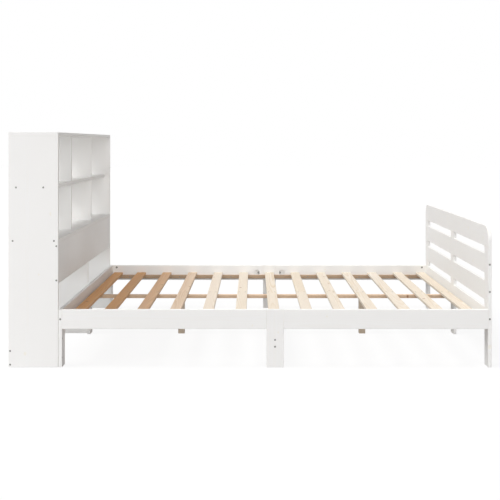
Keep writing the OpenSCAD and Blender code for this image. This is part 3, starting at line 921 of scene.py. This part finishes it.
def wood_screw(name, one, root, plain, rim, pitch, **recess):
    """A countersunk screw whose thread begins where its plain shank ends.

    Root is the thread's core as a share of the shank's radius, plain the share of the length that has no
    thread, and rim the depth of the bevel round the head.
    """
    core = one.shank_r*root
    neck = one.shank_r*0.9
    sink = one.head_r - one.shank_r
    plain_end = one.length*plain
    start = plain_end + 0.5*MM
    tip = one.length - one.shank_r*2
    profile = [(one.head_r, 0.0), (one.head_r*0.97, rim), (neck, sink), (neck, plain_end), (core, start),
               *thread_rings(core, start, tip, pitch), (0, one.length)]
    return turned(name, profile, facets=2, thread=(start, tip, pitch, one.shank_r - core), **recess)


def cross_bored(model, radius, depth):
    """The same fastening with a hole across it, along X."""
    drill = bmesh.new()
    reach = 2*max(vertex.co.length for vertex in model.vertices)
    turn = Matrix.Translation((0, 0, depth)) @ Matrix.Rotation(math.radians(90), 4, "Y")
    bmesh.ops.create_cone(drill, cap_ends=True, segments=HOLE_SIDES, radius1=radius, radius2=radius,
                          depth=reach, matrix=turn)
    drill_piece = new_object("drill", plain_mesh("drill", drill))
    bored = new_object(model.name, model)
    cut = bored.modifiers.new("Cross bore", "BOOLEAN")
    cut.object, cut.operation, cut.solver = drill_piece, "DIFFERENCE", "EXACT"
    result = evaluated_mesh(bored)
    for spare in (bored, drill_piece):
        bpy.data.objects.remove(spare)
    sharpen(result)
    return result


def facing_the_bed(nuts):
    """Turns barrel nuts so that their slotted end looks at the bed's middle line."""
    for nut in nuts:
        if nut.head.y*nut.aim.y < 0:
            nut.head = nut.head + nut.aim*nut.length
            nut.aim = -nut.aim
    return nuts


def set_fasteners(node, model, spin=math.tau, places=None):
    """Replaces a CAD node of fastenings with one model on each of their places."""
    settings = bpy.context.scene.bed_fasteners
    tree = shared(bpy.data.node_groups, "Set fastenings", fastener_tree)
    pattern = new_object(f"{node}_pattern", model)
    piece = run_tree(f"{node}_set", places_mesh(f"{node}_places", places or fasteners_in(node)), tree,
                     {"Fastening": pattern, "Spin": spin, "Seed": settings.seed, "Material": zinc_for_all()})
    bpy.data.objects.remove(pattern)
    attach(piece, BODY)
    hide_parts(node)


def countersinks(screws):
    """Cones that cut the seats of upright screws, a little wider than their heads."""
    room, rise = 0.1*MM, 1*MM
    circle = [(math.cos(math.tau*k/HOLE_SIDES), math.sin(math.tau*k/HOLE_SIDES)) for k in range(HOLE_SIDES)]
    cutter = bmesh.new()
    for screw in screws:
        wide = screw.head_r + room
        narrow = screw.shank_r + room
        sink = wide - narrow
        rings = [(wide, -rise), (wide, 0.0), (narrow, sink), (narrow, 2*sink)]
        loops = [[cutter.verts.new(screw.head + screw.aim*depth + Vector((radius*c, radius*s, 0)))
                  for c, s in circle] for radius, depth in rings]
        for upper, lower in zip(loops, loops[1:]):
            for k in range(HOLE_SIDES):
                after = (k + 1) % HOLE_SIDES
                cutter.faces.new([upper[k], upper[after], lower[after], lower[k]])
        cutter.faces.new(loops[0])
        cutter.faces.new(loops[-1])
    return plain_mesh("slat_countersinks", cutter)


# Operators

class BED_OT_bookcase(bpy.types.Operator):
    """Paints the boards of the bookcase headboard"""
    bl_idname = "bed.bookcase"
    bl_label = "Bookcase"

    def execute(self, context):
        finish_boards(BOOKCASE, painted, "White paint")
        return {"FINISHED"}


class BED_OT_head_frame(bpy.types.Operator):
    """Paints the legs and cross boards of the head frame"""
    bl_idname = "bed.head_frame"
    bl_label = "Head Frame"

    def execute(self, context):
        finish_boards(HEAD_FRAME, painted, "White paint")
        return {"FINISHED"}


class BED_OT_side_rails(bpy.types.Operator):
    """Paints the side rails, the middle legs and the stretcher between them"""
    bl_idname = "bed.side_rails"
    bl_label = "Side Rails"

    def execute(self, context):
        finish_boards(SIDE_RAILS, painted, "White paint")
        return {"FINISHED"}


class BED_OT_footboard(bpy.types.Operator):
    """Paints the stiles, the boards and the rounded top board of the footboard"""
    bl_idname = "bed.footboard"
    bl_label = "Footboard"

    def execute(self, context):
        finish_boards(FOOTBOARD, painted, "White paint")
        return {"FINISHED"}


class BED_OT_slat_supports(bpy.types.Operator):
    """Gives the ledgers, the centre batten and its legs their bare pine"""
    bl_idname = "bed.slat_supports"
    bl_label = "Slat Supports"

    def execute(self, context):
        finish_boards(SLAT_SUPPORTS, bare_pine, "Bare pine")
        return {"FINISHED"}


class BED_OT_slats(bpy.types.Operator):
    """Makes the slats in rows of two halves, with a countersink for each screw"""
    bl_idname = "bed.slats"
    bl_label = "Slats"

    def execute(self, context):
        slats = context.scene.bed_slats
        sink_mesh = countersinks([screw for screw in fasteners_in("slat_screws") if screw.axis == Z])
        sinks = new_object("slat_countersinks", sink_mesh)
        spread = (abs(HALF_LOW.y) + abs(HALF_HIGH.y))/2
        piece = run_tree("slats", bpy.data.meshes.new("slat_start"), slat_tree(), {
            "Count": slats.count, "Pitch": slats.pitch, "End reach": slats.end_reach, "Width": slats.width,
            "Thickness": slats.thickness, "Half length": slats.half_length, "Edge radius": slats.ease,
            "Middle": (BED_MIDDLE_X, 0.0, SLAT_MIDDLE_Z), "Half spread": spread,
            "Countersinks": sinks, "Material": slat_pine("Bare pine slats")})
        bpy.data.objects.remove(sinks)
        sharpen(piece.data)
        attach(piece, BODY)
        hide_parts(*SLATS)
        return {"FINISHED"}


class BED_OT_board_screws(bpy.types.Operator):
    """Makes the countersunk cross-head screws of the boards, with their coarse thread"""
    bl_idname = "bed.board_screws"
    bl_label = "Board Screws"

    def execute(self, context):
        one = fasteners_in("board_screws")[0]
        model = wood_screw("board_screw", one, root=0.72, plain=0.35, rim=0.25*MM,
                           pitch=context.scene.bed_fasteners.thread_pitch,
                           drive=cross_drive(one.head_r*CROSS_REACH), drive_depth=one.head_r*CROSS_DEPTH)
        set_fasteners("board_screws", model)
        return {"FINISHED"}


class BED_OT_long_screws(bpy.types.Operator):
    """Makes the long hexagon-socket screws through the edges of the legs and stiles"""
    bl_idname = "bed.long_screws"
    bl_label = "Long Screws"

    def execute(self, context):
        one = fasteners_in("long_screws")[0]
        coarser = 1.2
        model = wood_screw("long_screw", one, root=0.74, plain=0.5, rim=0.3*MM,
                           pitch=context.scene.bed_fasteners.thread_pitch*coarser,
                           drive=hex_drive(one.head_r*0.5), drive_depth=one.head_r*0.55, taper=0.9)
        set_fasteners("long_screws", model)
        return {"FINISHED"}


class BED_OT_slat_screws(bpy.types.Operator):
    """Makes the small cross-head screws of the slats and ledgers"""
    bl_idname = "bed.slat_screws"
    bl_label = "Slat Screws"

    def execute(self, context):
        one = fasteners_in("slat_screws")[0]
        sink = one.head_r - one.shank_r
        profile = [(one.head_r, 0.0), (one.shank_r, sink), (one.shank_r, one.length - one.shank_r*2),
                   (0, one.length)]
        model = turned("slat_screw", profile, drive=cross_drive(one.head_r*CROSS_REACH),
                       drive_depth=one.head_r*CROSS_DEPTH)
        set_fasteners("slat_screws", model)
        return {"FINISHED"}


class BED_OT_rail_bolts(bpy.types.Operator):
    """Makes the hexagon-socket bolts that pull the rails to the end frames"""
    bl_idname = "bed.rail_bolts"
    bl_label = "Rail Bolts"

    def execute(self, context):
        one = fasteners_in("rail_bolts")[0]
        bevel, pitch = 0.5*MM, 1*MM
        root = one.shank_r*0.86
        plain_end = one.length*0.45
        start = plain_end + 0.3*MM
        tip = one.length - bevel
        profile = [(one.head_r - bevel, 0.0), (one.head_r, bevel), (one.head_r, one.head_t),
                   (one.shank_r, one.head_t), (one.shank_r, plain_end), (root, start),
                   *thread_rings(root, start, tip, pitch), (root - bevel/2, one.length)]
        model = turned("rail_bolt", profile, drive=hex_drive(one.head_r*0.36), drive_depth=one.head_t*0.75,
                       facets=2, taper=0.98, thread=(start, tip, pitch, one.shank_r - root))
        set_fasteners("rail_bolts", model)
        return {"FINISHED"}


class BED_OT_barrel_nuts(bpy.types.Operator):
    """Makes the slotted barrel nuts that the rail bolts run into"""
    bl_idname = "bed.barrel_nuts"
    bl_label = "Barrel Nuts"

    def execute(self, context):
        nuts = facing_the_bed(fasteners_in("barrel_nuts"))
        one = nuts[0]
        bolt = fasteners_in("rail_bolts")[0]
        bevel, slot_depth, slack = 0.4*MM, 1.5*MM, 0.25*MM
        profile = [(one.head_r - bevel, 0.0), (one.head_r, bevel), (one.head_r, one.length - bevel),
                   (one.head_r - bevel, one.length)]
        solid = turned("barrel_nut", profile, drive=slot_drive(one.head_r*0.8), drive_depth=slot_depth,
                       facets=2, taper=1.0)
        model = cross_bored(solid, bolt.shank_r + slack, abs(bolt.head.y - one.head.y))
        set_fasteners("barrel_nuts", model, spin=0.0, places=nuts)
        return {"FINISHED"}


class BED_OT_joint_rods(bpy.types.Operator):
    """Plates the threaded rods of the middle legs, their half-moon washers and their nuts"""
    bl_idname = "bed.joint_rods"
    bl_label = "Joint Rods"

    def execute(self, context):
        cover("joint_rods", zinc_for_all())
        return {"FINISHED"}


class BED_OT_dowels(bpy.types.Operator):
    """Gives the dowels their beech"""
    bl_idname = "bed.dowels"
    bl_label = "Dowels"

    def execute(self, context):
        cover("dowels", turned_beech("Turned beech"))
        return {"FINISHED"}


class BED_OT_stage(bpy.types.Operator):
    """Sets the camera, the lamps, the room light and a pale floor"""
    bl_idname = "bed.stage"
    bl_label = "Stage"

    def execute(self, context):
        scene, stage = context.scene, context.scene.bed_stage
        set_camera(scene, stage)
        set_floor(stage)
        set_room_light(scene, stage)
        set_sun("Key", stage.key, turn=-88, height=63, spread=22)
        set_sun("Side", stage.side, turn=-65, height=50, spread=14)
        set_sun("Top", stage.top, turn=-80, height=72, spread=40)
        set_sun("Fill", stage.fill, turn=8, height=21, spread=60)
        set_window_lamp(stage.window, place=Vector((-3.2, -1.6, 0.4)), target=Vector((-1.0, 0.2, 0.2)),
                        side=1.0)
        scene.view_settings.view_transform = "Standard"
        return {"FINISHED"}


# Parts of the stage

def set_camera(scene, stage):
    """A level camera. Its shift, not a tilt, brings the bed into the picture."""
    camera = new_object("Camera", bpy.data.cameras.new("Camera"))
    camera.location = (stage.camera_x, stage.camera_y, stage.camera_z)
    camera.rotation_euler = (math.radians(90), 0, 0)
    camera.data.lens = stage.lens
    camera.data.sensor_width = 36
    camera.data.shift_x = stage.shift_x
    camera.data.shift_y = stage.shift_y
    scene.camera = camera


def set_sun(name, strength, turn, height, spread):
    """A lamp far away. It stands turn degrees from behind the camera, minus towards the bookcase."""
    lamp = bpy.data.lights.new(name, "SUN")
    lamp.energy = strength
    lamp.angle = math.radians(spread)
    a, e = math.radians(turn), math.radians(height)
    to_lamp = Vector((math.sin(a)*math.cos(e), -math.cos(a)*math.cos(e), math.sin(e)))
    new_object(name, lamp).rotation_euler = to_lamp.to_track_quat("Z", "Y").to_euler()


def set_window_lamp(power, place, target, side):
    """A low square lamp behind the bookcase, turned to a target."""
    lamp = bpy.data.lights.new("Window", "AREA")
    lamp.energy = power
    lamp.size = side
    window = new_object("Window", lamp)
    window.location = place
    window.rotation_euler = (place - target).to_track_quat("Z", "Y").to_euler()
    window.visible_camera = False


def seen_directly(wires):
    """1 where the camera, a gloss or glass looks, and 0 where light bounces."""
    path = wires.add("ShaderNodeLightPath").outputs
    seen = wires.math("MAXIMUM", path["Is Camera Ray"], path["Is Glossy Ray"])
    return wires.math("MAXIMUM", seen, path["Is Transmission Ray"])


def set_floor(stage):
    """A wide pale floor under the bed. It throws back less light than it shows."""
    half, depth = 40.0, 0.5*MM
    corners = [(x, y, -depth) for x, y in ((-half, -half), (half, -half), (half, half), (-half, half))]
    mesh = bpy.data.meshes.new("floor")
    mesh.from_pydata(corners, [], [(0, 1, 2, 3)])
    floor = new_object("floor", mesh)
    material = bpy.data.materials.new("Pale floor")
    wires = empty_tree(material)
    lit = wires.add("ShaderNodeBsdfDiffuse", {"Color": rgb(stage.floor)}).outputs["BSDF"]
    plain = wires.add("ShaderNodeEmission", {"Color": WHITE, "Strength": 1.0}).outputs["Emission"]
    shown = wires.add("ShaderNodeMixShader", {0: stage.shadow, 1: plain, 2: lit}).outputs["Shader"]
    bounced = wires.add("ShaderNodeBsdfDiffuse", {"Color": rgb((stage.bounce,)*3)}).outputs["BSDF"]
    mixed = wires.add("ShaderNodeMixShader", {0: seen_directly(wires), 1: bounced, 2: shown})
    wires.add("ShaderNodeOutputMaterial", {"Surface": mixed.outputs["Shader"]})
    floor.data.materials.append(material)


def set_room_light(scene, stage):
    """Even light from all round, with a white background behind the floor's edge."""
    world = bpy.data.worlds.new("Room")
    wires = empty_tree(world)
    shown = wires.blend(seen_directly(wires), shaded(stage.sky_tint, stage.sky), WHITE)
    back = wires.add("ShaderNodeBackground", {"Color": shown, "Strength": 1.0})
    wires.add("ShaderNodeOutputWorld", {"Surface": back.outputs["Background"]})
    scene.world = world


# Panel and registration

class BED_PT_panel(bpy.types.Panel):
    """Lists the pieces of the bed in the order in which they are made"""
    bl_label = "Bookcase Bed"
    bl_idname = "BED_PT_panel"
    bl_space_type = "VIEW_3D"
    bl_region_type = "UI"
    bl_category = "Bed"

    def draw(self, context):
        for operator in OPERATORS:
            self.layout.operator(operator.bl_idname)
        for settings in SETTINGS:
            group = getattr(context.scene, settings)
            column = self.layout.column()
            for name in group.__annotations__:
                column.prop(group, name)


OPERATORS = [BED_OT_stage, BED_OT_bookcase, BED_OT_head_frame, BED_OT_side_rails, BED_OT_footboard,
             BED_OT_slat_supports, BED_OT_slats, BED_OT_board_screws, BED_OT_long_screws,
             BED_OT_slat_screws, BED_OT_rail_bolts, BED_OT_barrel_nuts, BED_OT_joint_rods, BED_OT_dowels]
SETTINGS = {"bed_finish": BedFinishSettings, "bed_slats": BedSlatSettings,
            "bed_fasteners": BedFastenerSettings, "bed_stage": BedStageSettings}


def register():
    for settings in SETTINGS.values():
        bpy.utils.register_class(settings)
    for name, settings in SETTINGS.items():
        setattr(bpy.types.Scene, name, PointerProperty(type=settings))
    for operator in OPERATORS:
        bpy.utils.register_class(operator)
    bpy.utils.register_class(BED_PT_panel)


def unregister():
    bpy.utils.unregister_class(BED_PT_panel)
    for operator in reversed(OPERATORS):
        bpy.utils.unregister_class(operator)
    for name in SETTINGS:
        delattr(bpy.types.Scene, name)
    for settings in reversed(SETTINGS.values()):
        bpy.utils.unregister_class(settings)


def main():
    register()
    for operator in OPERATORS:
        group, name = operator.bl_idname.split(".")
        getattr(getattr(bpy.ops, group), name)()


if __name__ == "__main__":
    main()
